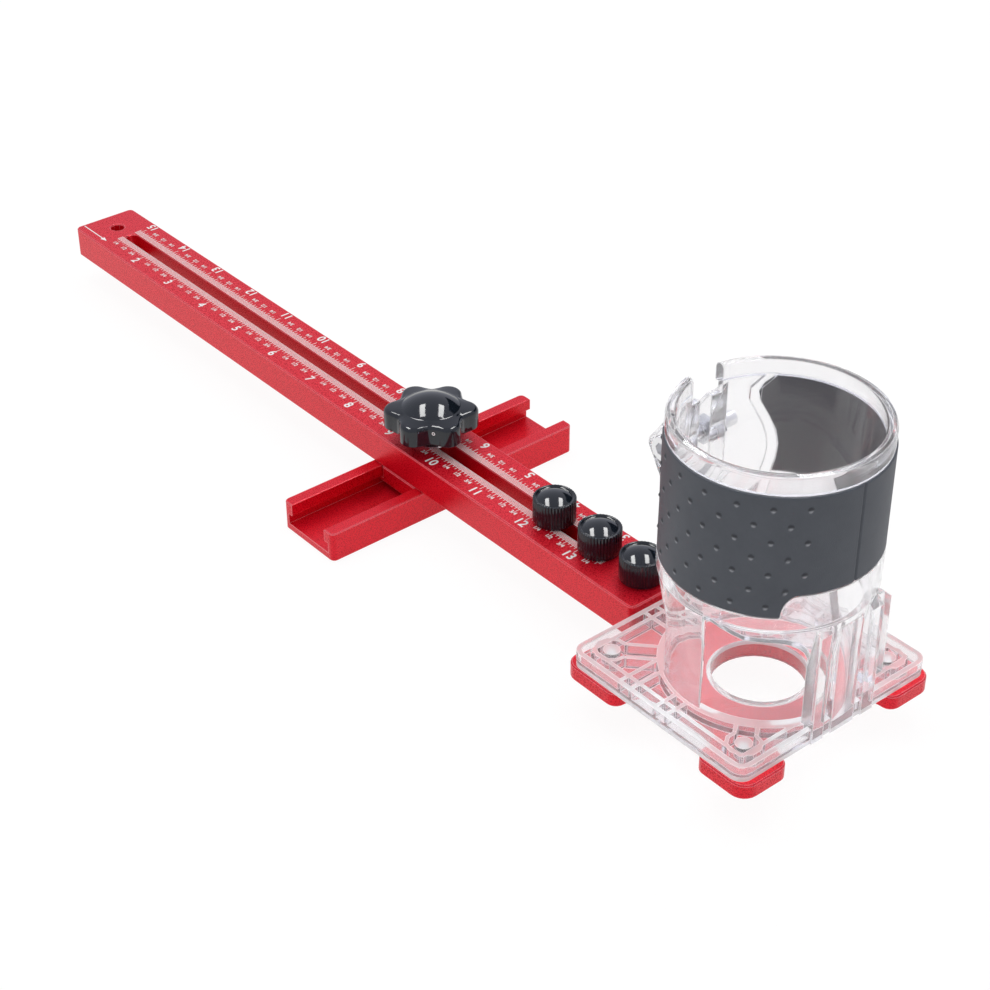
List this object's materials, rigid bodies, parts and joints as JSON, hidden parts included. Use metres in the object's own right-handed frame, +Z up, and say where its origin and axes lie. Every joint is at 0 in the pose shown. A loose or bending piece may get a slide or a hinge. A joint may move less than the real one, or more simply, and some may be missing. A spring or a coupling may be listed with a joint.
{
  "type": "router circle cutting jig",
  "caption": "Slotted ruler bar with a pivot hole, a sliding cross rail under a star knob, and a plate with a clear clamping base that carries a trim router.",
  "frame": {"origin": "middle of the assembly's box in plan, at the height of the cross rail's underside", "axes": "+X along the ruler bar from its pivot end to the router, +Y across the bar, +Z up out of the bar's scale"},
  "size_m": [0.4402, 0.115, 0.1178],
  "materials": {
    "red_anodised": "satin red anodised",
    "clear_plastic": "clear polished polycarbonate",
    "grip_rubber": "matt soft rubber",
    "black_plastic": "glossy moulded plastic",
    "steel": "zinc plated",
    "brass": "plain turned",
    "white_ink": "printed white ink"
  },
  "bodies": {
    "jig": {"ruler_bar": "red_anodised", "router_plate": "red_anodised", "plate_screw_1": "steel", "plate_screw_2": "steel", "plate_screw_3": "steel", "plate_screw_4": "steel", "router_base": "clear_plastic", "grip_sleeve": "grip_rubber", "clamp_nut": "steel"},
    "carriage": {"slider_plate": "red_anodised", "clamp_bolt": "steel"},
    "rail": {"cross_rail": "red_anodised"},
    "knob_lift": {"knob_washer": "steel"},
    "knob_turn": {"star_knob": "black_plastic", "knob_insert": "brass"},
    "clamp_lift": {"clamp_washer": "steel"},
    "clamp_turn": {"clamp_screw": "steel"},
    "thumb_lift_1": {"thumb_washer_1": "steel"},
    "thumb_turn_1": {"thumb_knob_1": "black_plastic", "thumb_stud_1": "steel"},
    "thumb_lift_2": {"thumb_washer_2": "steel"},
    "thumb_turn_2": {"thumb_knob_2": "black_plastic", "thumb_stud_2": "steel"},
    "thumb_lift_3": {"thumb_washer_3": "steel"},
    "thumb_turn_3": {"thumb_knob_3": "black_plastic", "thumb_stud_3": "steel"}
  },
  "joints": [
    {"name": "carriage_slide", "type": "slide", "parent": "jig", "child": "carriage", "axis": [1, 0, 0], "range_m": [-0.204, 0.042]},
    {"name": "rail_slide", "type": "slide", "parent": "carriage", "child": "rail", "axis": [0, 1, 0], "range_m": [-0.042, 0.038]},
    {"name": "knob_rise", "type": "slide", "parent": "carriage", "child": "knob_lift", "axis": [0, 0, 1], "range_m": [0, 0.004]},
    {"name": "knob_spin", "type": "hinge", "parent": "knob_lift", "child": "knob_turn", "pos_m": [0.01328, -0.0018, 0.032], "axis": [0, 0, 1], "range_deg": [0, 1800]},
    {"name": "clamp_rise", "type": "slide", "parent": "jig", "child": "clamp_lift", "axis": [0, -1, 0], "range_m": [0, 0.0024]},
    {"name": "clamp_spin", "type": "hinge", "parent": "clamp_lift", "child": "clamp_turn", "pos_m": [0.14445, -0.0018, 0.0894], "axis": [0, -1, 0], "range_deg": [0, 1080]},
    {"name": "thumb_rise_1", "type": "slide", "parent": "jig", "child": "thumb_lift_1", "axis": [0, 0, 1], "range_m": [0, 0.004]},
    {"name": "thumb_spin_1", "type": "hinge", "parent": "thumb_lift_1", "child": "thumb_turn_1", "pos_m": [0.08285, -0.0018, 0.032], "axis": [0, 0, 1], "range_deg": [0, 1800]},
    {"name": "thumb_rise_2", "type": "slide", "parent": "jig", "child": "thumb_lift_2", "axis": [0, 0, 1], "range_m": [0, 0.004]},
    {"name": "thumb_spin_2", "type": "hinge", "parent": "thumb_lift_2", "child": "thumb_turn_2", "pos_m": [0.10655, -0.0018, 0.032], "axis": [0, 0, 1], "range_deg": [0, 1800]},
    {"name": "thumb_rise_3", "type": "slide", "parent": "jig", "child": "thumb_lift_3", "axis": [0, 0, 1], "range_m": [0, 0.004]},
    {"name": "thumb_spin_3", "type": "hinge", "parent": "thumb_lift_3", "child": "thumb_turn_3", "pos_m": [0.12745, -0.0018, 0.032], "axis": [0, 0, 1], "range_deg": [0, 1800]}
  ],
  "couplings": [
    {"joint": "knob_rise", "follows": "knob_spin", "m_per_rad": 0.00012732},
    {"joint": "clamp_rise", "follows": "clamp_spin", "m_per_rad": 0.00012732},
    {"joint": "thumb_rise_1", "follows": "thumb_spin_1", "m_per_rad": 0.00012732},
    {"joint": "thumb_rise_2", "follows": "thumb_spin_2", "m_per_rad": 0.00012732},
    {"joint": "thumb_rise_3", "follows": "thumb_spin_3", "m_per_rad": 0.00012732}
  ]
}
